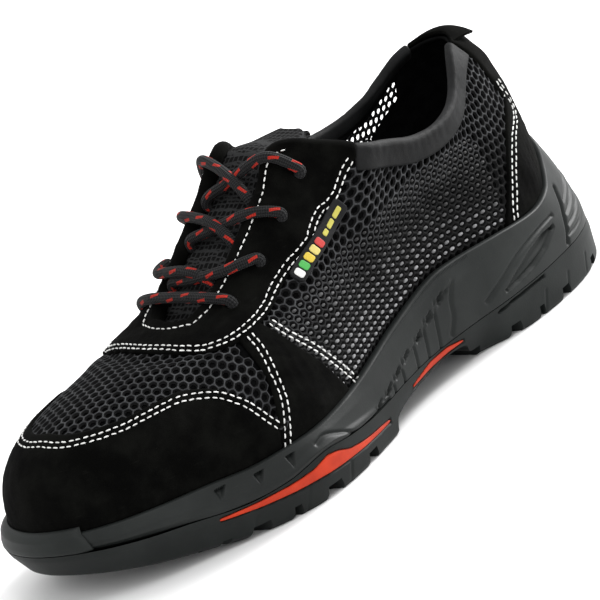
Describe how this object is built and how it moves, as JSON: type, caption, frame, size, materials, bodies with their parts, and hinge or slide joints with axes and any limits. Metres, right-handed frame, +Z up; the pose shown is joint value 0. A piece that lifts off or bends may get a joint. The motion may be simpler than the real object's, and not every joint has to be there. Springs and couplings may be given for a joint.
{
  "type": "safety sneaker",
  "caption": "Low safety sneaker: black knit upper with suede toe cap and eyestay, round laces, side tag, and a lugged dark rubber sole with red side inserts.",
  "frame": {"origin": "on the floor under the middle of the flat heel lug, on the sole's centre line", "axes": "+X from the heel to the toe, +Y to the outer side of the left foot, +Z up"},
  "size_m": [0.2953, 0.1083, 0.1099],
  "materials": {
    "knit": "open hexagonal knit",
    "outsole": "matte moulded rubber",
    "midsole": "matte moulded rubber with a fine ribbed lip",
    "insole": "woven cover",
    "bumper": "smooth matte rubber",
    "insert": "smooth matte rubber",
    "suede": "napped suede with white stitching",
    "binding": "smooth stretch band",
    "tongue": "padded mesh",
    "tag": "soft label with coloured squares",
    "lace": "round braid with red flecks"
  },
  "bodies": {
    "root": {"upper": "knit", "outsole": "outsole", "midsole": "midsole", "insole": "insole", "toe_bumper": "bumper", "forefoot_insert_outer": "insert", "forefoot_insert_inner": "insert", "arch_insert_outer": "insert", "arch_insert_inner": "insert", "toe_cap": "suede", "eyestay": "suede", "side_band_outer": "suede", "side_band_inner": "suede", "heel_counter": "suede", "heel_pull_tab": "suede", "collar_band_outer": "binding", "collar_band_inner": "binding", "tongue": "tongue", "side_tag": "tag", "lace_bar": "lace", "lace_cross_1": "lace", "lace_cross_2": "lace", "lace_cross_3": "lace"}
  },
  "joints": []
}
